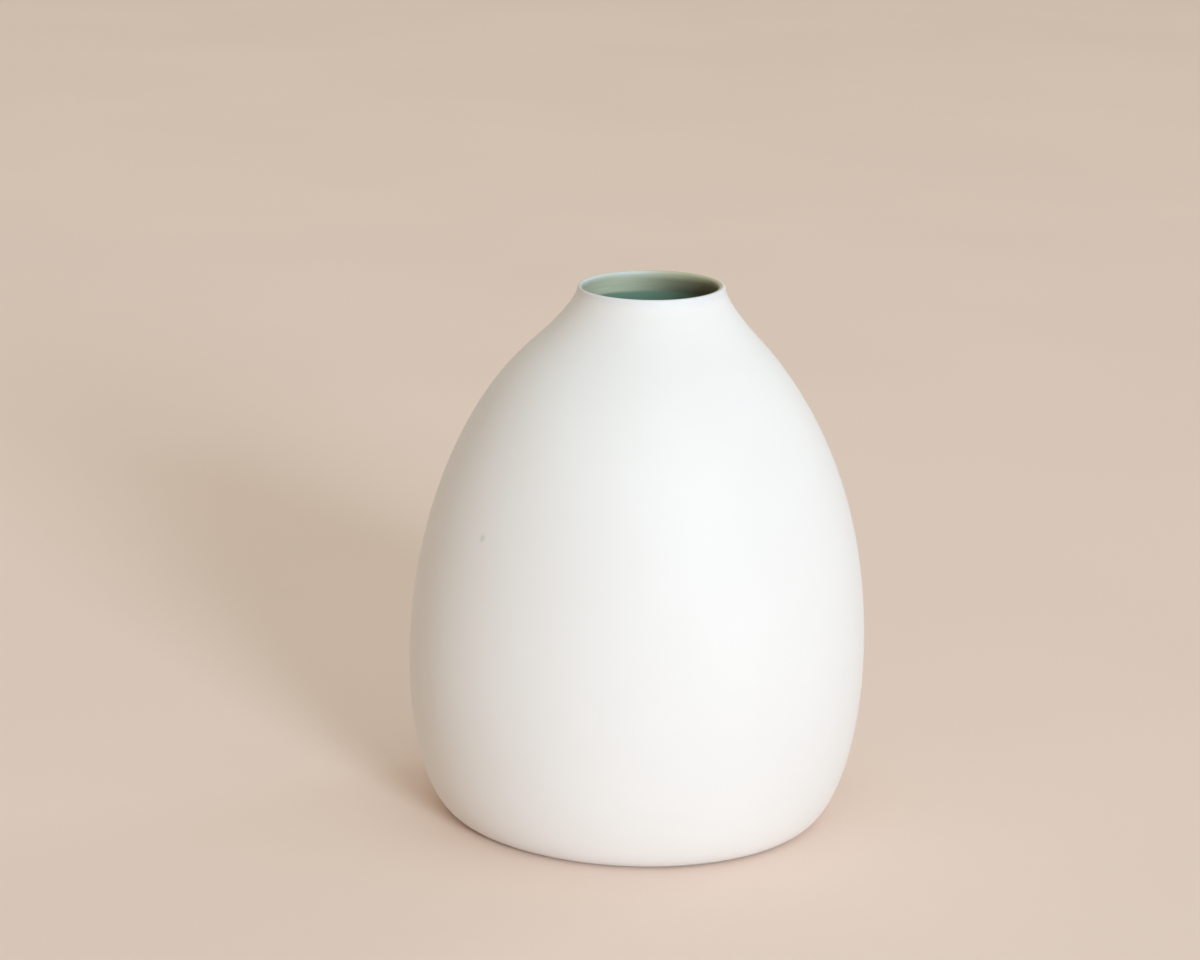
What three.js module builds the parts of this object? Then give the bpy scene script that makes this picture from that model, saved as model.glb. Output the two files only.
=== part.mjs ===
// A bud vase: a round-bellied porcelain pot with a narrow flared mouth, coated inside with a thin glaze.
// Millimetres, +Z up. The origin is the centre of the ring that the vase stands on.

import * as THREE from 'three';

// Driving dimensions of the outside
const HEIGHT = 123;
const BELLY_DIAMETER = 104;
const BELLY_HEIGHT = 36;
const FOOT_DIAMETER = 80;
const NECK_DIAMETER = 50.4;
const COLLAR_HEIGHT = 12.8;
const MOUTH_DIAMETER = 33;

// How far each curve keeps its end direction, which sets how full the form is
const FOOT_SWEEP = 7.4;
const LOWER_FULLNESS = 16.4;
const UPPER_FULLNESS = 20.2;
const SHOULDER_REACH = 31.7;
const NECK_SWEEP = 4.5;
const LIP_RISE = 2.6;
const SHOULDER_LEAN = THREE.MathUtils.degToRad(45);

// Thickness of the pot and of its coat
const WALL = 3.2;
const FLOOR = 5;
const LIP = 1;
const GLAZE = 0.4;
const COAT_CLEARANCE = 0.05;

// The ring that the pot stands on, and the hollow inside it
const FOOT_RING_WIDTH = 5;
const FOOT_RECESS = 1.6;
const RECESS_DRAFT = 1.2;

// Steps along each curve, over the lip and around the axis
const LOWER_STEPS = 8;
const UPPER_STEPS = 12;
const COLLAR_STEPS = 5;
const LIP_STEPS = 6;
const TURN_STEPS = 48;

const point = (radius, height) => new THREE.Vector2(radius, height);

// The wall from the floor's edge up to the lip, as three curves that run smoothly into each other.
// The outer face has no inset. An inner face lies inset from it, above a floor, and reaches a thinner lip.
function wallPoints(inset, floor, lipInset) {
  const alongShoulder = point(-Math.sin(SHOULDER_LEAN), Math.cos(SHOULDER_LEAN));
  const outOfShoulder = point(Math.cos(SHOULDER_LEAN), Math.sin(SHOULDER_LEAN));

  const foot = point(FOOT_DIAMETER / 2 - inset, floor);
  const belly = point(BELLY_DIAMETER / 2 - inset, BELLY_HEIGHT);
  const neck = point(NECK_DIAMETER / 2, HEIGHT - COLLAR_HEIGHT).addScaledVector(outOfShoulder, -inset);
  const lip = point(MOUTH_DIAMETER / 2 - lipInset, HEIGHT - LIP / 2);

  const lower = new THREE.CubicBezierCurve(
    foot,
    point(foot.x + FOOT_SWEEP, foot.y),
    point(belly.x, belly.y - LOWER_FULLNESS),
    belly,
  );
  const upper = new THREE.CubicBezierCurve(
    belly,
    point(belly.x, belly.y + UPPER_FULLNESS),
    neck.clone().addScaledVector(alongShoulder, -SHOULDER_REACH),
    neck,
  );
  const collar = new THREE.CubicBezierCurve(
    neck,
    neck.clone().addScaledVector(alongShoulder, NECK_SWEEP),
    point(lip.x, lip.y - LIP_RISE),
    lip,
  );
  return [
    ...lower.getPoints(LOWER_STEPS),
    ...upper.getPoints(UPPER_STEPS).slice(1),
    ...collar.getPoints(COLLAR_STEPS).slice(1),
  ];
}

// The round over the lip, from its outer side to its inner side, without its two ends
function lipPoints() {
  const radius = LIP / 2;
  const middle = point(MOUTH_DIAMETER / 2 - radius, HEIGHT - radius);
  const round = new THREE.ArcCurve(middle.x, middle.y, radius, 0, Math.PI, false);
  return round.getPoints(LIP_STEPS).slice(1, -1);
}

// A profile of radius and height, turned about the vase's axis
function turned(name, profile, material) {
  const mesh = new THREE.Mesh(new THREE.LatheGeometry(profile, TURN_STEPS), material);
  mesh.name = name;
  return mesh;
}

const porcelain = new THREE.MeshStandardMaterial({ color: 0xf4f3f0, roughness: 0.75, metalness: 0 });
const glaze = new THREE.MeshStandardMaterial({ color: 0x7fa294, roughness: 0.15, metalness: 0 });

// A face inside the pot, from the middle of its floor up to its lip: the pot's own lies at no depth,
// and those of the coat lie further in
function innerPoints(depth) {
  const floor = FOOT_RECESS + FLOOR + depth;
  return [point(0, floor), ...wallPoints(WALL + depth, floor, LIP + depth)];
}

// The bare pot: underside, outer face, lip, inner face and floor
function porcelainBody() {
  const ringInside = FOOT_DIAMETER / 2 - FOOT_RING_WIDTH;
  const underside = [
    point(0, FOOT_RECESS),
    point(ringInside - RECESS_DRAFT, FOOT_RECESS),
    point(ringInside, 0),
  ];
  const profile = [
    ...underside,
    ...wallPoints(0, 0, 0),
    ...lipPoints(),
    ...innerPoints(0).reverse(),
  ];
  return turned('porcelain_body', profile, porcelain);
}

// The coat on the inner face and floor, with its top edge sloping in just below the lip
function glazeLining() {
  const backed = innerPoints(COAT_CLEARANCE);
  const bared = innerPoints(COAT_CLEARANCE + GLAZE);
  bared.at(-1).y -= GLAZE;
  return turned('glaze_lining', [...backed, ...bared.reverse()], glaze);
}

// Profiles are turned about Y, so the vase is stood up on +Z
const vase = new THREE.Group();
vase.rotation.x = Math.PI / 2;
vase.add(porcelainBody(), glazeLining());

export default vase;
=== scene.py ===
"""A bud vase in matt white porcelain with a glossy blue-green glaze inside, on a plain studio stage.

Lengths are in metres. The vase stands on its foot ring at the origin, with +Z up through its mouth.
"""

import math

import bmesh
import bpy
from bpy.props import FloatProperty, FloatVectorProperty, PointerProperty
from mathutils import Matrix, Vector, geometry, noise


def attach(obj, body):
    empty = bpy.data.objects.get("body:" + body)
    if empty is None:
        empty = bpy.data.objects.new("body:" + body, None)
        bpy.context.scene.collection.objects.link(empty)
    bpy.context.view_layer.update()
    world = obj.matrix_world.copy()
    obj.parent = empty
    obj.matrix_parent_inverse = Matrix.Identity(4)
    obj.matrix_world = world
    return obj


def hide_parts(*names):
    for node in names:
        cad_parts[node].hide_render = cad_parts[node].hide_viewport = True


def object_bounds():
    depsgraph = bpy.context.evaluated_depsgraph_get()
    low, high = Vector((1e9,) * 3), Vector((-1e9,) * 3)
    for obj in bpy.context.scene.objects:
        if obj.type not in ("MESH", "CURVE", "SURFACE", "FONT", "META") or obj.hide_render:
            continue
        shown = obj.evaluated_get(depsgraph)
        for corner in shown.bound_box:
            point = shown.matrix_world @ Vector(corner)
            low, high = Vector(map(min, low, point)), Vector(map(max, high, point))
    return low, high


bl_info = {
    "name": "Bud Vase",
    "version": (1, 0, 0),
    "blender": (4, 5, 0),
    "location": "View3D > Sidebar > Bud Vase",
    "description": "Makes a porcelain bud vase that is glazed inside, and a plain stage to show it on",
    "category": "Add Mesh",
}

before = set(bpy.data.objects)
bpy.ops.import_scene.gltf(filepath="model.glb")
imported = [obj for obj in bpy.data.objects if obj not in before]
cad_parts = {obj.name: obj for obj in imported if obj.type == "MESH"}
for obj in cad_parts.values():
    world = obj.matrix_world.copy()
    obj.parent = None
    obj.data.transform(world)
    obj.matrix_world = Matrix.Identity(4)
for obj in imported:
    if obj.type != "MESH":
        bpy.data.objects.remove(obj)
CAD_LOW, CAD_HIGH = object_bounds()
CAD_SIZE = CAD_HIGH - CAD_LOW

# Directions in the half section, which is drawn in the plane of X and Z
OUTWARD = Vector((1.0, 0.0, 0.0))
UPWARD = Vector((0.0, 0.0, 1.0))
OVER_THE_LIP = (0.0, -1.0, 0.0)

# How finely each line of the half section is divided, and how many steps turn it once round
LOWER_POINTS = 36
UPPER_POINTS = 80
COLLAR_POINTS = 26
LIP_STEPS = 12
CREST_STEPS = 6
LEVEL_CUTS = 80
TURN_STEPS = 160
EDGE_STEPS = 4
FLOOR_SEGMENTS = 96
MERGE_DISTANCE = 1e-7

# Faces that meet at more than this keep a sharp edge between them
SHARP_ANGLE = math.radians(60.0)

# The slow swelling of the wall: how often it repeats round the vase and up it
WOBBLE_ROUND = 1.1
WOBBLE_UP = 22.0

# Nearly all values of a noise lie between these two
NOISE_LOW = 0.3
NOISE_HIGH = 0.7

# The mix node for colours keeps these places for its two colours and its result
MIX_FIRST = 6
MIX_SECOND = 7
MIX_RESULT = 2


def length(name, description, default):
    """A size in metres that a user may change."""
    return FloatProperty(
        name=name, description=description, default=default, min=0.0, precision=5, unit="LENGTH"
    )


def angle(name, description, degrees):
    """An angle that a user may change."""
    return FloatProperty(
        name=name, description=description, default=math.radians(degrees), subtype="ANGLE"
    )


def share(name, description, default):
    """A number from 0 to 1 that a user may change."""
    return FloatProperty(
        name=name, description=description, default=default, min=0.0, max=1.0, subtype="FACTOR"
    )


def colour(name, description, default):
    """A colour that a user may change, in linear light."""
    return FloatVectorProperty(
        name=name, description=description, default=default, min=0.0, max=1.0, size=3, subtype="COLOR"
    )


def power(name, description, default):
    """The power of a lamp in watts, which a user may change."""
    return FloatProperty(name=name, description=description, default=default, min=0.0, unit="POWER")


class VaseShape(bpy.types.PropertyGroup):
    """Sizes of the pot and of the glaze inside it"""

    height: length("Height", "From the table to the top of the lip", CAD_SIZE.z)
    belly_diameter: length("Belly diameter", "Across the widest part", CAD_SIZE.x)
    belly_height: length("Belly height", "From the table to the widest part", 0.036)
    foot_diameter: length("Foot diameter", "Across the outside of the foot ring", 0.080)
    neck_diameter: length("Neck diameter", "Across the start of the collar", 0.0504)
    collar_height: length("Collar height", "From the neck to the top of the lip", 0.0128)
    mouth_diameter: length("Mouth diameter", "Across the outside of the lip", 0.033)

    foot_sweep: length("Foot sweep", "How far the foot runs level before it turns up", 0.0074)
    lower_fullness: length("Lower fullness", "How far the belly stays upright below", 0.0164)
    upper_fullness: length("Upper fullness", "How far the belly stays upright above", 0.0202)
    shoulder_reach: length("Shoulder reach", "How far the shoulder keeps its slope", 0.0317)
    shoulder_lean: angle("Shoulder lean", "Slope of the shoulder where it meets the collar", 45.0)
    neck_sweep: length("Neck sweep", "How far the collar keeps the shoulder's slope", 0.0045)
    lip_rise: length("Lip rise", "How far the collar stays upright below the lip", 0.0026)

    wall: length("Wall", "Thickness of the porcelain wall", 0.0032)
    floor: length("Floor", "Thickness of the porcelain floor", 0.005)
    lip: length("Lip", "Thickness of the rounded lip", 0.001)
    ring_width: length("Ring width", "Width of the ring that the vase stands on", 0.005)
    recess: length("Recess", "Depth of the hollow inside the ring", 0.0016)
    recess_draft: length("Recess draft", "How far the hollow's side slopes in", 0.0012)
    recess_round: length("Recess round", "Radius of the round edges of the hollow", 0.0005)
    tool_mark: length("Tool mark", "Height of the rings that the turning tool left below", 0.00006)
    tool_pitch: length("Tool pitch", "Distance from one ring of the tool to the next", 0.0028)
    finger_mark: length("Finger mark", "Depth of the soft rings that fingers left inside", 0.00012)
    finger_pitch: length("Finger pitch", "Distance from one ring of the fingers to the next", 0.0055)

    glaze: length("Glaze", "Thickness of the glaze on the wall", 0.0004)
    glaze_clearance: length("Glaze clearance", "Gap kept between the glaze and the wall", 0.00005)
    glaze_feather: length("Glaze feather", "Depth below the lip over which the glaze thins out", 0.007)
    glaze_pool: length("Glaze pool", "Extra glaze that ran down and lies on the floor", 0.0006)
    pool_height: length("Pool height", "How far up the wall the extra glaze reaches", 0.012)
    feather_share: share("Feather share", "Glaze left at the lip, as a share of its thickness", 0.3)

    unevenness: length("Unevenness", "How far the wall swells in and out of round", 0.0002)
    lip_drop: length("Lip drop", "How much lower the lip lies on its low side", 0.001)
    lip_turn: angle("Lip turn", "Which way the lip's high side faces, turned from +X", 20.0)
    lip_shift: length("Lip shift", "How far the lip stands off the axis, to its high side", 0.00028)
    lip_reach: length("Lip reach", "How far below its top the lip's drop and shift start", 0.0256)
    hole_shift: length("Hole shift", "How far the hole lies off-centre, to the lip's low side", 0.00035)


class VaseFinish(bpy.types.PropertyGroup):
    """Colours, marks and gloss of the porcelain and the glaze"""

    porcelain: colour("Porcelain", "Bare porcelain", (0.88, 0.88, 0.865))
    porcelain_cloud: colour("Porcelain cloud", "Where the kiln toned it", (0.866, 0.863, 0.845))
    # Painted translucency: a cool, slightly darker tint near the lip stands in for light passing through
    # the thin porcelain.
    painted_translucency_tint: colour("Thin porcelain", "At the lip, where it is thin", (0.81, 0.83, 0.85))
    painted_translucency_depth: length("Thin depth", "How far below the lip the porcelain looks thin", 0.003)
    porcelain_roughness: share("Porcelain roughness", "How matt the bare porcelain is", 0.65)
    roughness_spread: share("Roughness spread", "How far the gloss differs from place to place", 0.05)
    clay_cloud: length("Clay cloud", "Size of the clouds in the porcelain's tone", 0.034)
    clay_grain: length("Clay grain", "Size of the grain of the porcelain", 0.0004)
    grain_depth: length("Grain depth", "Depth of the porcelain's grain and sponge marks", 0.0001)
    grain_strength: share("Grain strength", "How plainly that relief catches the light", 0.1)
    porcelain_gloss: share("Porcelain gloss", "How strongly the bare porcelain reflects", 0.4)
    wipe_length: length("Wipe length", "How far a mark of the smoothing sponge runs round", 0.03)
    wipe_width: length("Wipe width", "Width of a mark of the smoothing sponge", 0.0009)

    foot_wear: colour("Foot wear", "The foot ring where it rubs on the table", (0.62, 0.58, 0.53))
    wear_height: length("Wear height", "How far up the foot ring the wear reaches", 0.0012)
    wear_least: share("Least wear", "How much the foot ring is rubbed where it is cleanest", 0.2)
    wear_most: share("Most wear", "How much the foot ring is rubbed where it is darkest", 0.7)

    speck: colour("Speck", "Iron specks in the clay", (0.30, 0.28, 0.26))
    speck_size: length("Speck size", "Across the largest speck", 0.0026)
    speck_stray: length("Speck stray", "How far the largest speck's edge strays", 0.000325)
    speck_strength: share("Speck strength", "How plainly the specks show", 0.3)
    speck_place: FloatVectorProperty(
        name="Speck place",
        description="Where the largest speck lies on the outside",
        default=(-0.03466, -0.03221, 0.07117),
        size=3,
        precision=5,
        subtype="TRANSLATION",
        unit="LENGTH",
    )
    dot_size: length("Dot size", "Across the tiny specks", 0.0005)
    dot_spacing: length("Dot spacing", "Distance from one place for a tiny speck to the next", 0.016)
    dot_share: share("Dot share", "How many of those places have a speck", 0.1)

    glaze_edge: colour("Glaze edge", "Glaze where it ends on the lip", (0.64, 0.70, 0.63))
    # Painted light: the thin glaze below the lip is paled, and a still paler band lies above the full
    # glaze, on the side of the inner wall that the key lamp lights.
    thin_glaze_painted_light: colour("Thin glaze", "Glaze where it thins out below the lip", (0.67, 0.695, 0.50))
    painted_light_band: colour("Painted light band", "Palest glaze, above the full glaze", (0.88, 0.90, 0.65))
    # Painted shade: towards the side that the next turn faces, the glaze is darker and its edge more
    # olive, for the inner wall that lies in shade; the width sets how broadly the two sides blend.
    painted_shade_edge: colour("Painted shade edge", "Edge on the side it was poured over", (0.545, 0.555, 0.385))
    painted_shade_glaze: colour("Painted shade glaze", "Thin glaze on that same side", (0.30, 0.28, 0.175))
    painted_shade_turn: angle("Painted shade turn", "Which side the glaze was poured out over, turned from +X", 0.0)
    painted_shade_width: length("Painted shade width", "Across the stretch where thin and poured glaze mix", 0.0165)
    glaze_wall: colour("Glaze", "Glaze of full thickness on the wall", (0.29, 0.465, 0.33))
    glaze_pool: colour("Pooled glaze", "Glaze where it lies thick on the floor", (0.16, 0.32, 0.27))
    edge_depth: length("Edge depth", "How far below the lip the edge's tone reaches", 0.0016)
    # Where the band of painted light starts below the lip.
    painted_light_band_depth: length("Painted light band depth", "How far below the lip the glaze starts to break", 0.0024)
    thin_glaze_depth: length("Thin glaze depth", "How far below the lip the thin glaze reaches", 0.00405)
    full_glaze_depth: length("Full glaze depth", "How far below the lip the full glaze starts", 0.0050)
    glaze_wander: length("Glaze wander", "How far the edges of the glaze's tones stray", 0.0003)
    glaze_roughness: share("Glaze roughness", "How soft the glaze's reflections are", 0.2)
    edge_roughness: share("Edge roughness", "How matt the glaze is where it ends on the lip", 0.5)
    glaze_spread: share("Glaze spread", "How far the glaze's gloss differs from place to place", 0.05)
    glaze_cloud: length("Glaze cloud", "Size of the clouds in the glaze's tone", 0.016)
    glaze_ripple: length("Glaze ripple", "Size of the ripples on the glaze", 0.0024)
    ripple_depth: length("Ripple depth", "Depth of those ripples", 0.0002)
    ripple_strength: share("Ripple strength", "How plainly the ripples catch the light", 0.08)
    glaze_index: FloatProperty(
        name="Glaze index", description="Refractive index of the glaze", default=1.52, min=1.0
    )
    band_length: length("Band length", "How far a band in the glaze runs round", 0.04)
    band_width: length("Band width", "Width of the bands where finger rings show through", 0.0014)
    band_strength: share("Band strength", "How plainly the bands show", 0.3)


class VaseStage(bpy.types.PropertyGroup):
    """The floor, the light and the camera"""

    floor: colour("Floor", "The plain floor", (0.93, 0.765, 0.665))
    floor_radius: length("Floor radius", "From the vase to the floor's edge", 4.0)
    floor_cloud: length("Floor cloud", "Size of the clouds in the floor's tone", 0.17)
    floor_tone: share("Floor tone", "How bright the clouds are beside the floor", 0.98)
    floor_roughness: share("Floor roughness", "How matt the floor is", 0.9)
    floor_gloss: share("Floor gloss", "How strongly the floor reflects", 0.1)
    backdrop: colour("Backdrop", "What shows beyond the floor", (0.66, 0.53, 0.44))
    horizon: colour("Horizon light", "Soft light from low down all round", (0.268, 0.16, 0.098))
    zenith: colour("Zenith light", "Soft light from overhead", (0.91, 0.985, 0.94))

    key_power: power("Key power", "Power of the lamp at the front right", 19.8)
    key_turn: angle("Key turn", "How far to the right of the camera the key lamp stands", 25.5)
    key_lift: angle("Key lift", "How steeply the key lamp shines down", 15.0)
    rim_power: power("Rim power", "Power of the weak lamp behind the vase", 3.7)
    rim_turn: angle("Rim turn", "How far to the right of the camera the rim lamp stands", 130.0)
    rim_lift: angle("Rim lift", "How steeply the rim lamp shines down", 15.0)
    lamp: colour("Lamp light", "Tone of the lamps", (0.742, 0.866, 0.985))
    lamp_size: length("Lamp size", "Across each lamp", 1.5)
    lamp_spread: angle("Lamp spread", "How far the light of each lamp fans out", 60.0)
    lamp_distance: length("Lamp distance", "From each lamp to the middle of the vase", 5.0)

    camera_distance: length("Camera distance", "From the vase's axis, level along the floor", 0.7447)
    camera_height: length("Camera height", "Above the floor", 0.2725)
    camera_pitch: angle("Camera pitch", "How far the camera looks down", 14.7)
    camera_turn: angle("Camera turn", "How far the camera looks to the left of the vase", 0.75)
    camera_roll: angle("Camera roll", "How far the camera leans to its left", 2.0)
    camera_lens: FloatProperty(
        name="Camera lens", description="Focal length in millimetres", default=102.0, min=1.0
    )


def smooth_step(value):
    """Rises smoothly from 0 to 1 as the value does, and stays there."""
    value = min(max(value, 0.0), 1.0)
    return value * value * (3.0 - 2.0 * value)


def facing(turn):
    """The level direction that is turned by an angle from +X."""
    return Matrix.Rotation(turn, 3, "Z") @ OUTWARD


def wall_line(shape, inset, floor, lip_inset):
    """Points up one face of the wall, from the foot to the lip, as three curves that meet smoothly.

    The outer face has no inset. An inner face lies inset from it, from a floor up to a thinner lip.
    """
    along_shoulder = Vector((-math.sin(shape.shoulder_lean), 0.0, math.cos(shape.shoulder_lean)))
    out_of_shoulder = Vector((math.cos(shape.shoulder_lean), 0.0, math.sin(shape.shoulder_lean)))

    foot = Vector((shape.foot_diameter / 2 - inset, 0.0, floor))
    belly = Vector((shape.belly_diameter / 2 - inset, 0.0, shape.belly_height))
    neck = Vector((shape.neck_diameter / 2, 0.0, shape.height - shape.collar_height))
    neck -= inset * out_of_shoulder
    lip = Vector((shape.mouth_diameter / 2 - lip_inset, 0.0, shape.height - shape.lip / 2))

    lower = geometry.interpolate_bezier(
        foot,
        foot + shape.foot_sweep * OUTWARD,
        belly - shape.lower_fullness * UPWARD,
        belly,
        LOWER_POINTS,
    )
    upper = geometry.interpolate_bezier(
        belly,
        belly + shape.upper_fullness * UPWARD,
        neck - shape.shoulder_reach * along_shoulder,
        neck,
        UPPER_POINTS,
    )
    collar = geometry.interpolate_bezier(
        neck,
        neck + shape.neck_sweep * along_shoulder,
        lip - shape.lip_rise * UPWARD,
        lip,
        COLLAR_POINTS,
    )
    return lower + upper[1:] + collar[1:]


def inner_line(shape, depth):
    """Points up the face inside the pot, which has the soft rings that fingers left in the clay.

    The pot's own face lies at no depth, and the faces of the glaze lie further in.
    """
    floor = shape.recess + shape.floor + depth
    points = wall_line(shape, shape.wall + depth, floor, shape.lip + depth)
    top = points[-1].z
    for point in points:
        above_floor = smooth_step((point.z - floor) / shape.pool_height)
        below_lip = smooth_step((top - point.z) / shape.glaze_feather)
        ring = math.sin(math.tau * point.z / shape.finger_pitch)
        point += OUTWARD * (shape.finger_mark * ring * above_floor * below_lip)
    return points


def crest_line(shape, depth):
    """Points from the inner side of the lip up to its crest.

    They lie off the lip by the depth at first, and on it at the crest.
    """
    middle = Vector((shape.mouth_diameter / 2 - shape.lip / 2, 0.0, shape.height - shape.lip / 2))
    points = []
    for step in range(1, CREST_STEPS + 1):
        climbed = step / CREST_STEPS
        off_the_middle = -OUTWARD * (shape.lip / 2 + depth * (1.0 - climbed))
        points.append(middle + Matrix.Rotation(math.pi / 2 * climbed, 3, "Y") @ off_the_middle)
    return points


def on_the_axis(point):
    """The point on the vase's axis that is level with another."""
    return Vector((0.0, 0.0, point.z))


def draw_line(mesh, start, points):
    """Draws edges on from a vertex through the points, and returns the last vertex."""
    last = start
    for point in points:
        vertex = mesh.verts.new(point)
        mesh.edges.new((last, vertex))
        last = vertex
    return last


def turn_once_round(mesh):
    """Turns the half section about the vase's axis into closed faces that point outwards.

    The lines that run level from the axis are divided first, so that rings can be pressed into them.
    """
    level = [edge for edge in mesh.edges if min(vertex.co.x for vertex in edge.verts) < MERGE_DISTANCE]
    bmesh.ops.subdivide_edges(mesh, edges=level, cuts=LEVEL_CUTS)
    bmesh.ops.spin(
        mesh,
        geom=mesh.verts[:] + mesh.edges[:],
        cent=(0.0, 0.0, 0.0),
        axis=UPWARD,
        angle=math.tau,
        steps=TURN_STEPS,
        use_merge=True,
    )
    bmesh.ops.remove_doubles(mesh, verts=mesh.verts[:], dist=MERGE_DISTANCE)
    bmesh.ops.recalc_face_normals(mesh, faces=mesh.faces[:])


def press_rings(mesh, low, high, reach, mark, pitch):
    """Presses rings about the axis into the level faces between two heights, fading at their reach."""
    for vertex in mesh.verts:
        radius = vertex.co.xy.length
        if radius < reach and low < vertex.co.z < high:
            fading = smooth_step((reach - radius) / pitch)
            vertex.co.z += mark * fading * math.cos(math.tau * radius / pitch)


def press_floor(mesh, shape):
    """Leaves the rings of a potter's fingers on the floor inside the pot."""
    inside = shape.recess + shape.floor
    low = inside - shape.floor / 2
    high = inside + shape.floor / 2
    reach = shape.foot_diameter / 2 - shape.wall - shape.glaze_clearance - shape.glaze
    press_rings(mesh, low, high, reach, shape.finger_mark, shape.finger_pitch)


def throw_by_hand(mesh, shape):
    """Gives a true form the small unevenness of a pot made by hand.

    Each piece of the vase moves alike, so the glaze stays on its wall. The foot stays flat and round.
    """
    mouth = shape.mouth_diameter / 2
    high_side = facing(shape.lip_turn)
    lip_start = shape.height - shape.lip_reach
    for vertex in mesh.verts:
        place = vertex.co.copy()
        outward = Vector((place.x, place.y, 0.0)).normalized()
        above_foot = smooth_step(place.z / shape.belly_height)
        wobble = noise.noise(outward * WOBBLE_ROUND + UPWARD * (place.z * WOBBLE_UP))
        vertex.co += outward * (shape.unevenness * above_foot * wobble)

        near_the_lip = smooth_step((place.z - lip_start) / shape.lip_reach)
        low_side = (1.0 - place.dot(high_side) / mouth) / 2
        vertex.co.z -= shape.lip_drop * near_the_lip * low_side
        vertex.co += high_side * (shape.lip_shift * near_the_lip)

        in_the_hole = smooth_step((mouth - place.xy.length) / shape.lip)
        vertex.co -= high_side * (shape.hole_shift * near_the_lip * in_the_hole)


def finished_piece(name, mesh, material, node):
    """Makes a piece of the vase that shows in place of a node of the frame."""
    for face in mesh.faces:
        face.smooth = True
    for edge in mesh.edges:
        edge.smooth = edge.calc_face_angle() < SHARP_ANGLE
    data = bpy.data.meshes.new(name)
    mesh.to_mesh(data)
    mesh.free()
    data.materials.append(material)
    piece = bpy.data.objects.new(name, data)
    bpy.context.scene.collection.objects.link(piece)
    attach(piece, "root")
    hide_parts(node)


def draw_pot(mesh, shape):
    """Draws half of the pot's section: underside, outer face, round lip, inner face and floor."""
    ring_inside = shape.foot_diameter / 2 - shape.ring_width
    recess_edge = Vector((ring_inside - shape.recess_draft, 0.0, shape.recess))
    underside = [recess_edge, Vector((ring_inside, 0.0, 0.0))]
    inner = inner_line(shape, 0.0)

    centre = mesh.verts.new(on_the_axis(recess_edge))
    lip_outside = draw_line(mesh, centre, underside + wall_line(shape, 0.0, 0.0, 0.0))
    lip_middle = lip_outside.co - OUTWARD * (shape.lip / 2)
    lip = bmesh.ops.spin(
        mesh, geom=[lip_outside], cent=lip_middle, axis=OVER_THE_LIP, angle=math.pi, steps=LIP_STEPS
    )
    lip_inside = lip["geom_last"][0]
    draw_line(mesh, lip_inside, [*reversed(inner[:-1]), on_the_axis(inner[0])])


def round_the_recess(mesh, shape):
    """Rounds the two corners that the hollow under the pot has in the half section."""
    reach = shape.foot_diameter / 2 - shape.ring_width + MERGE_DISTANCE
    top = shape.recess + MERGE_DISTANCE
    corners = [vertex for vertex in mesh.verts if 0.0 < vertex.co.x < reach and vertex.co.z < top]
    bmesh.ops.bevel(
        mesh,
        geom=corners,
        offset=shape.recess_round,
        offset_type="OFFSET",
        affect="VERTICES",
        segments=EDGE_STEPS,
        profile=0.5,
        material=-1,
    )


def turn_the_underside(mesh, shape):
    """Leaves the rings of a turning tool in the hollow under the pot."""
    reach = shape.foot_diameter / 2 - shape.ring_width - shape.recess_draft - shape.recess_round
    press_rings(mesh, 0.0, shape.recess + shape.floor / 2, reach, shape.tool_mark, shape.tool_pitch)


def draw_glaze(mesh, shape):
    """Draws half of the glaze's section: up its back on the wall, over the lip, and down its open face.

    It lies thicker on the floor, and thins out below the lip to nothing at the lip's crest.
    """
    whole = shape.glaze_clearance + shape.glaze
    backed = inner_line(shape, shape.glaze_clearance)
    bared = []
    for back, full in zip(backed, inner_line(shape, whole)):
        below_lip = smooth_step((backed[-1].z - back.z) / shape.glaze_feather)
        above_floor = smooth_step((back.z - backed[0].z) / shape.pool_height)
        thickness = shape.feather_share + (1.0 - shape.feather_share) * below_lip
        thickness += (1.0 - above_floor) * shape.glaze_pool / shape.glaze
        bared.append(back.lerp(full, thickness))

    crest = crest_line(shape, shape.glaze_clearance)
    for back, full in zip(crest[:-1], crest_line(shape, whole)):
        bared.append(back.lerp(full, shape.feather_share))

    centre = mesh.verts.new(on_the_axis(backed[0]))
    draw_line(mesh, centre, [*backed, *crest, *reversed(bared), on_the_axis(bared[0])])


def add_node(tree, kind, inputs=None, **settings):
    """Adds a node with its settings to a tree, and sets each input or links it to an output."""
    node = tree.nodes.new(kind)
    for name, value in settings.items():
        setattr(node, name, value)
    for name, value in (inputs or {}).items():
        if isinstance(value, bpy.types.NodeSocket):
            tree.links.new(value, node.inputs[name])
        elif node.inputs[name].type == "RGBA":
            node.inputs[name].default_value = (*value, 1.0)
        else:
            node.inputs[name].default_value = value
    return node


def calculate(tree, operation, first, second):
    """The result of an operation on two values."""
    return add_node(tree, "ShaderNodeMath", {0: first, 1: second}, operation=operation).outputs["Value"]


def dot_product(tree, first, second):
    """The dot product of two vectors."""
    inputs = {0: first, 1: second}
    node = add_node(tree, "ShaderNodeVectorMath", inputs, operation="DOT_PRODUCT")
    return node.outputs["Value"]


def fade(tree, value, start, end, low=0.0, high=1.0):
    """A value that goes smoothly from low to high while another goes from start to end."""
    inputs = {"Value": value, "From Min": start, "From Max": end, "To Min": low, "To Max": high}
    node = add_node(tree, "ShaderNodeMapRange", inputs, interpolation_type="SMOOTHSTEP")
    return node.outputs["Result"]


def wander(tree, texture, low=0.0, high=1.0):
    """A value that strays between low and high as a noise does."""
    return fade(tree, texture, NOISE_LOW, NOISE_HIGH, low, high)


def blend_colours(tree, factor, first, second):
    """One colour where the factor is 0, running into another where it is 1."""
    inputs = {"Factor": factor, MIX_FIRST: first, MIX_SECOND: second}
    node = add_node(tree, "ShaderNodeMix", inputs, data_type="RGBA")
    return node.outputs[MIX_RESULT]


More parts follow.
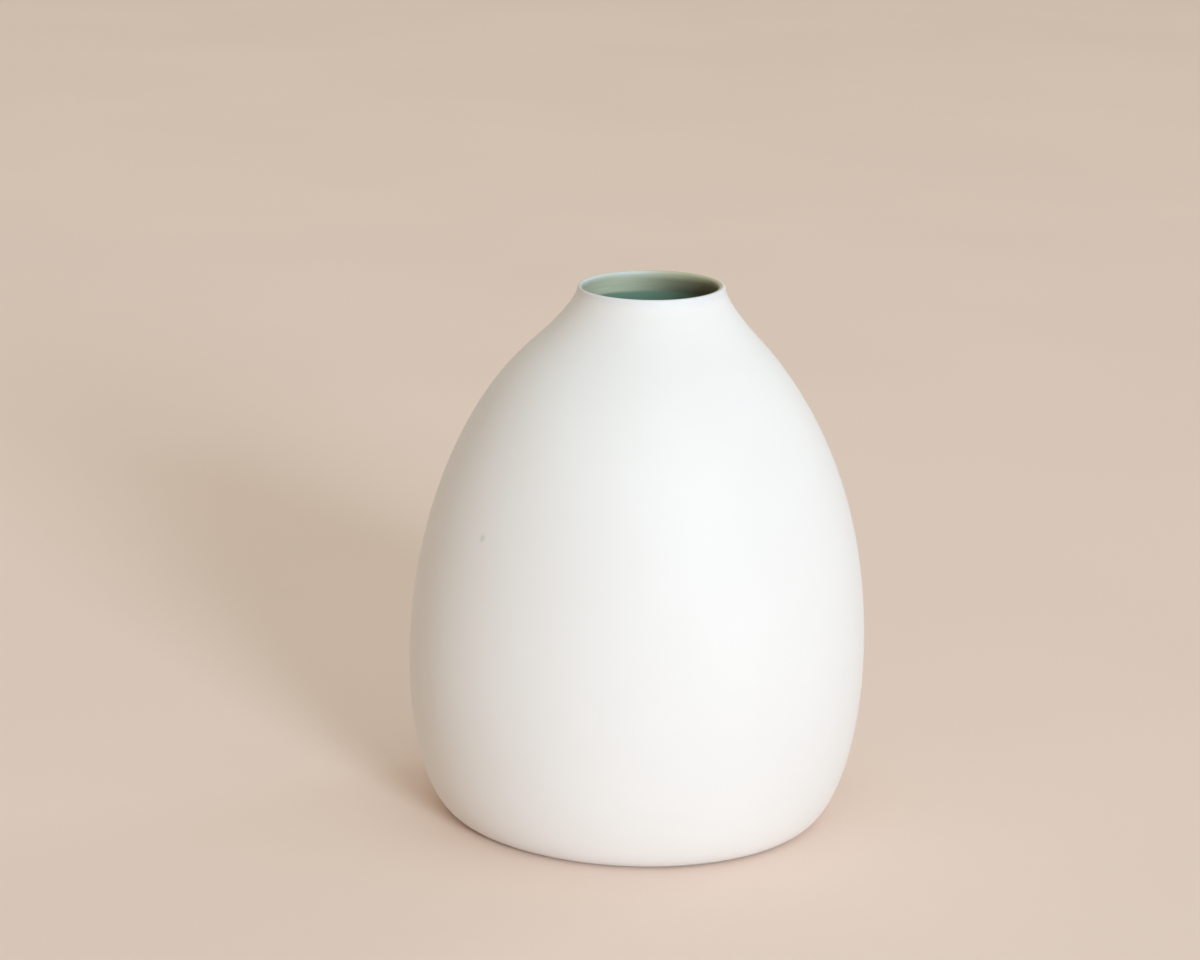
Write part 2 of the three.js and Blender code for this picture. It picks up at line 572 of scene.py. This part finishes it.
def kiln_variation():
    """A node group with what making and firing leave in clay and in glaze: clouds, grain and streaks.

    Each is a noise from 0 to 1. The streaks have one size level round the vase and another up it.
    """
    name = "Kiln variation"
    if name in bpy.data.node_groups:
        return bpy.data.node_groups[name]
    group = bpy.data.node_groups.new(name, "ShaderNodeTree")
    for socket in ("Cloud Size", "Grain Size", "Streak Size Level", "Streak Size Up"):
        group.interface.new_socket(socket, in_out="INPUT", socket_type="NodeSocketFloat")
    for socket in ("Cloud", "Grain", "Streak"):
        group.interface.new_socket(socket, in_out="OUTPUT", socket_type="NodeSocketFloat")
    sizes = group.nodes.new("NodeGroupInput").outputs
    place = add_node(group, "ShaderNodeTexCoord").outputs["Object"]

    def noise_of(level, up):
        size = add_node(group, "ShaderNodeCombineXYZ", {"X": level, "Y": level, "Z": up})
        parts = {0: place, 1: size.outputs["Vector"]}
        scaled = add_node(group, "ShaderNodeVectorMath", parts, operation="DIVIDE")
        inputs = {"Vector": scaled.outputs["Vector"], "Scale": 1.0}
        return add_node(group, "ShaderNodeTexNoise", inputs).outputs["Fac"]

    made = {
        "Cloud": noise_of(sizes["Cloud Size"], sizes["Cloud Size"]),
        "Grain": noise_of(sizes["Grain Size"], sizes["Grain Size"]),
        "Streak": noise_of(sizes["Streak Size Level"], sizes["Streak Size Up"]),
    }
    add_node(group, "NodeGroupOutput", made)
    return group


def fire(tree, cloud, grain, streak_level, streak_up):
    """Places the kiln's variation in a material, at that material's own sizes."""
    sizes = {
        "Cloud Size": cloud,
        "Grain Size": grain,
        "Streak Size Level": streak_level,
        "Streak Size Up": streak_up,
    }
    return add_node(tree, "ShaderNodeGroup", sizes, node_tree=kiln_variation()).outputs


def new_material(name):
    """An empty material and its node tree."""
    material = bpy.data.materials.new(name)
    material.use_nodes = True
    tree = material.node_tree
    tree.nodes.clear()
    return material, tree


def place_on_vase(tree):
    """Where a point lies on the vase, and its height."""
    place = add_node(tree, "ShaderNodeTexCoord").outputs["Object"]
    parts = add_node(tree, "ShaderNodeSeparateXYZ", {"Vector": place}).outputs
    return place, parts["Z"]


def relief(tree, height, depth, strength):
    """A normal for fine relief of that height and depth."""
    inputs = {"Height": height, "Distance": depth, "Strength": strength}
    return add_node(tree, "ShaderNodeBump", inputs).outputs["Normal"]


def iron_specks(tree, place, finish):
    """How strongly iron shows: one soft speck at its own place, and a few tiny ones all over."""
    inputs = {"Vector": place, "Scale": 1.0 / finish.speck_size}
    ragged = add_node(tree, "ShaderNodeTexNoise", inputs).outputs["Fac"]
    stray = wander(tree, ragged, -finish.speck_stray, finish.speck_stray)
    inputs = {0: place, 1: finish.speck_place}
    away = add_node(tree, "ShaderNodeVectorMath", inputs, operation="DISTANCE").outputs["Value"]
    away = calculate(tree, "ADD", away, stray)
    speck = fade(tree, away, finish.speck_size / 2, 0.0, 0.0, finish.speck_strength)

    inputs = {"Vector": place, "Scale": 1.0 / finish.dot_spacing}
    cells = add_node(tree, "ShaderNodeTexVoronoi", inputs).outputs
    chance = add_node(tree, "ShaderNodeSeparateColor", {"Color": cells["Color"]}).outputs["Red"]
    dot = fade(tree, cells["Distance"], finish.dot_size / 2 / finish.dot_spacing, 0.0)
    chosen = fade(tree, chance, 1.0 - finish.dot_share, 1.0, 0.0, finish.speck_strength)
    return calculate(tree, "MAXIMUM", speck, calculate(tree, "MULTIPLY", dot, chosen))


def porcelain_material(shape, finish):
    """Bare matt porcelain: clouds, fine grain, sponge marks, specks, a rubbed foot, and a cool tint
    painted at the lip for light passing through the thin porcelain.
    """
    material, tree = new_material("bare_porcelain")
    place, height = place_on_vase(tree)
    kiln = fire(tree, finish.clay_cloud, finish.clay_grain, finish.wipe_length, finish.wipe_width)

    tone = blend_colours(tree, wander(tree, kiln["Cloud"]), finish.porcelain, finish.porcelain_cloud)
    # Painted translucency: a cool, slightly darker tint near the lip stands in for light passing through
    # the thin porcelain.
    near_lip = fade(tree, height, shape.height - finish.painted_translucency_depth, shape.height - shape.lip)
    tone = blend_colours(tree, near_lip, tone, finish.painted_translucency_tint)
    tone = blend_colours(tree, iron_specks(tree, place, finish), tone, finish.speck)
    low = fade(tree, height, finish.wear_height, 0.0)
    patchy = wander(tree, kiln["Cloud"], finish.wear_least, finish.wear_most)
    tone = blend_colours(tree, calculate(tree, "MULTIPLY", low, patchy), tone, finish.foot_wear)

    smoothest = finish.porcelain_roughness - finish.roughness_spread
    roughest = finish.porcelain_roughness + finish.roughness_spread
    surface = calculate(tree, "ADD", kiln["Grain"], kiln["Streak"])
    shader = add_node(
        tree,
        "ShaderNodeBsdfPrincipled",
        {
            "Base Color": tone,
            "Roughness": wander(tree, kiln["Grain"], smoothest, roughest),
            "Normal": relief(tree, surface, finish.grain_depth, finish.grain_strength),
            "Specular IOR Level": finish.porcelain_gloss,
        },
    )
    add_node(tree, "ShaderNodeOutputMaterial", {"Surface": shader.outputs["BSDF"]})
    return material


def depth_below_lip(tree, place, height, shape):
    """How far a point lies below the lip, which is lower on one side."""
    lean = facing(shape.lip_turn) * (shape.lip_drop / shape.mouth_diameter)
    middle = shape.height - (shape.lip + shape.lip_drop) / 2
    lip = calculate(tree, "ADD", dot_product(tree, place, lean), middle)
    return calculate(tree, "SUBTRACT", lip, height)


def glaze_material(shape, finish):
    """Glossy glaze: pale on the lip, paler still in a band of painted light above the full glaze, deeper
    down the wall, deepest where it pooled.

    One side is painted darker, with a more olive edge, as painted shade on the inner wall that faces
    away from the key lamp; on the other side the thin glaze is paled as painted light.
    """
    material, tree = new_material("inner_glaze")
    place, height = place_on_vase(tree)
    kiln = fire(tree, finish.glaze_cloud, finish.glaze_ripple, finish.band_length, finish.band_width)

    stray = wander(tree, kiln["Cloud"], -finish.glaze_wander, finish.glaze_wander)
    height = calculate(tree, "ADD", height, stray)
    depth = depth_below_lip(tree, place, height, shape)
    # Painted shade towards the turned side: darker glaze and a more olive edge stand in for the shaded
    # inner wall.
    across = dot_product(tree, place, facing(finish.painted_shade_turn))
    shaded = fade(tree, across, -finish.painted_shade_width / 2, finish.painted_shade_width / 2)

    # Painted light: a paler band just above the full glaze, on the lit side only.
    light_band = fade(tree, depth, finish.painted_light_band_depth, finish.thin_glaze_depth)
    thin = blend_colours(tree, light_band, finish.thin_glaze_painted_light, finish.painted_light_band)
    thin = blend_colours(tree, shaded, thin, finish.painted_shade_glaze)
    full = fade(tree, depth, finish.thin_glaze_depth, finish.full_glaze_depth)
    tone = blend_colours(tree, full, thin, finish.glaze_wall)
    band = wander(tree, kiln["Streak"], 0.0, finish.band_strength)
    tone = blend_colours(tree, band, tone, finish.glaze_pool)
    edge = fade(tree, depth, finish.edge_depth, 0.0)
    # The edge is painted more olive on the shaded side.
    edge_tone = blend_colours(tree, shaded, finish.glaze_edge, finish.painted_shade_edge)
    tone = blend_colours(tree, edge, tone, edge_tone)
    floor = shape.recess + shape.floor
    pooled = fade(tree, height, floor + shape.pool_height, floor)
    tone = blend_colours(tree, pooled, tone, finish.glaze_pool)

    smoothest = finish.glaze_roughness - finish.glaze_spread
    roughest = finish.glaze_roughness + finish.glaze_spread
    dry_edge = calculate(tree, "MULTIPLY", edge, finish.edge_roughness)
    roughness = calculate(tree, "MAXIMUM", wander(tree, kiln["Cloud"], smoothest, roughest), dry_edge)
    shader = add_node(
        tree,
        "ShaderNodeBsdfPrincipled",
        {
            "Base Color": tone,
            "Roughness": roughness,
            "Normal": relief(tree, kiln["Grain"], finish.ripple_depth, finish.ripple_strength),
            "IOR": finish.glaze_index,
        },
    )
    add_node(tree, "ShaderNodeOutputMaterial", {"Surface": shader.outputs["BSDF"]})
    return material


def floor_material(stage):
    """A plain pale floor with a faint unevenness in its tone."""
    material, tree = new_material("floor")
    place = add_node(tree, "ShaderNodeTexCoord").outputs["Object"]
    cloud = add_node(tree, "ShaderNodeTexNoise", {"Vector": place, "Scale": 1.0 / stage.floor_cloud})
    clouded = tuple(stage.floor_tone * part for part in stage.floor)
    tone = blend_colours(tree, wander(tree, cloud.outputs["Fac"]), stage.floor, clouded)
    shader = add_node(
        tree,
        "ShaderNodeBsdfPrincipled",
        {
            "Base Color": tone,
            "Roughness": stage.floor_roughness,
            "Specular IOR Level": stage.floor_gloss,
        },
    )
    add_node(tree, "ShaderNodeOutputMaterial", {"Surface": shader.outputs["BSDF"]})
    return material


def studio_world(stage):
    """Soft light that grows towards the zenith, and a plain backdrop where the world itself is seen."""
    world = bpy.data.worlds.new("studio")
    world.use_nodes = True
    tree = world.node_tree
    tree.nodes.clear()
    direction = add_node(tree, "ShaderNodeTexCoord").outputs["Generated"]
    up = add_node(tree, "ShaderNodeSeparateXYZ", {"Vector": direction}).outputs["Z"]
    sky = blend_colours(tree, calculate(tree, "MULTIPLY", up, up), stage.horizon, stage.zenith)

    path = add_node(tree, "ShaderNodeLightPath").outputs
    seen = calculate(tree, "MAXIMUM", path["Is Camera Ray"], path["Is Glossy Ray"])
    seen = calculate(tree, "MAXIMUM", seen, path["Is Transmission Ray"])
    shown = blend_colours(tree, seen, sky, stage.backdrop)
    light = add_node(tree, "ShaderNodeBackground", {"Color": shown})
    add_node(tree, "ShaderNodeOutputWorld", {"Surface": light.outputs["Background"]})
    return world


def add_lamp(name, stage, watts, turn, lift, target):
    """A round soft lamp that shines on a point, turned from the camera's side and lifted."""
    lamp = bpy.data.lights.new(name, "AREA")
    lamp.shape = "DISK"
    lamp.size = stage.lamp_size
    lamp.spread = stage.lamp_spread
    lamp.energy = watts
    lamp.color = stage.lamp
    holder = bpy.data.objects.new(name, lamp)
    level = Vector((math.sin(turn), -math.cos(turn), 0.0))
    towards_lamp = level * math.cos(lift) + UPWARD * math.sin(lift)
    holder.location = target + stage.lamp_distance * towards_lamp
    holder.rotation_euler = towards_lamp.to_track_quat("Z", "Y").to_euler()
    holder.visible_camera = False
    bpy.context.scene.collection.objects.link(holder)


class VASE_OT_porcelain(bpy.types.Operator):
    """Make the porcelain pot"""

    bl_idname = "vase.porcelain"
    bl_label = "Make Porcelain Pot"

    def execute(self, context):
        shape = context.scene.vase_shape
        mesh = bmesh.new()
        draw_pot(mesh, shape)
        round_the_recess(mesh, shape)
        turn_once_round(mesh)
        turn_the_underside(mesh, shape)
        press_floor(mesh, shape)
        throw_by_hand(mesh, shape)
        material = porcelain_material(shape, context.scene.vase_finish)
        finished_piece("porcelain_pot", mesh, material, "porcelain_body")
        return {"FINISHED"}


class VASE_OT_glaze(bpy.types.Operator):
    """Make the glaze inside the pot"""

    bl_idname = "vase.glaze"
    bl_label = "Make Glaze"

    def execute(self, context):
        shape = context.scene.vase_shape
        mesh = bmesh.new()
        draw_glaze(mesh, shape)
        turn_once_round(mesh)
        press_floor(mesh, shape)
        throw_by_hand(mesh, shape)
        material = glaze_material(shape, context.scene.vase_finish)
        finished_piece("glaze_coat", mesh, material, "glaze_lining")
        return {"FINISHED"}


class VASE_OT_stage(bpy.types.Operator):
    """Make the floor, the light and the camera"""

    bl_idname = "vase.stage"
    bl_label = "Make Stage"

    def execute(self, context):
        scene = context.scene
        stage = scene.vase_stage
        scene.view_settings.view_transform = "Standard"

        mesh = bmesh.new()
        bmesh.ops.create_circle(mesh, cap_ends=True, segments=FLOOR_SEGMENTS, radius=stage.floor_radius)
        data = bpy.data.meshes.new("floor")
        mesh.to_mesh(data)
        mesh.free()
        data.materials.append(floor_material(stage))
        floor = bpy.data.objects.new("floor", data)
        scene.collection.objects.link(floor)

        scene.world = studio_world(stage)
        middle = UPWARD * (scene.vase_shape.height / 2)
        add_lamp("key_lamp", stage, stage.key_power, stage.key_turn, stage.key_lift, middle)
        add_lamp("rim_lamp", stage, stage.rim_power, stage.rim_turn, stage.rim_lift, middle)

        lens = bpy.data.cameras.new("camera")
        lens.lens = stage.camera_lens
        camera = bpy.data.objects.new("camera", lens)
        camera.location = (0.0, -stage.camera_distance, stage.camera_height)
        turn = (
            Matrix.Rotation(stage.camera_turn, 3, "Z")
            @ Matrix.Rotation(math.pi / 2 - stage.camera_pitch, 3, "X")
            @ Matrix.Rotation(stage.camera_roll, 3, "Z")
        )
        camera.rotation_euler = turn.to_euler()
        scene.collection.objects.link(camera)
        scene.camera = camera
        return {"FINISHED"}


class VASE_PT_sidebar(bpy.types.Panel):
    """Sizes, colours and makers of the bud vase"""

    bl_idname = "VASE_PT_sidebar"
    bl_label = "Bud Vase"
    bl_space_type = "VIEW_3D"
    bl_region_type = "UI"
    bl_category = "Bud Vase"

    def draw(self, context):
        for operator in (VASE_OT_porcelain, VASE_OT_glaze, VASE_OT_stage):
            self.layout.operator(operator.bl_idname)
        for settings in (context.scene.vase_shape, context.scene.vase_finish, context.scene.vase_stage):
            box = self.layout.box()
            for name in settings.__annotations__:
                box.prop(settings, name)


CLASSES = (
    VaseShape,
    VaseFinish,
    VaseStage,
    VASE_OT_porcelain,
    VASE_OT_glaze,
    VASE_OT_stage,
    VASE_PT_sidebar,
)


def register():
    for made in CLASSES:
        bpy.utils.register_class(made)
    bpy.types.Scene.vase_shape = PointerProperty(type=VaseShape)
    bpy.types.Scene.vase_finish = PointerProperty(type=VaseFinish)
    bpy.types.Scene.vase_stage = PointerProperty(type=VaseStage)


def unregister():
    del bpy.types.Scene.vase_stage
    del bpy.types.Scene.vase_finish
    del bpy.types.Scene.vase_shape
    for made in reversed(CLASSES):
        bpy.utils.unregister_class(made)


def main():
    """Makes the vase and its stage."""
    register()
    bpy.ops.vase.porcelain()
    bpy.ops.vase.glaze()
    bpy.ops.vase.stage()


if __name__ == "__main__":
    main()
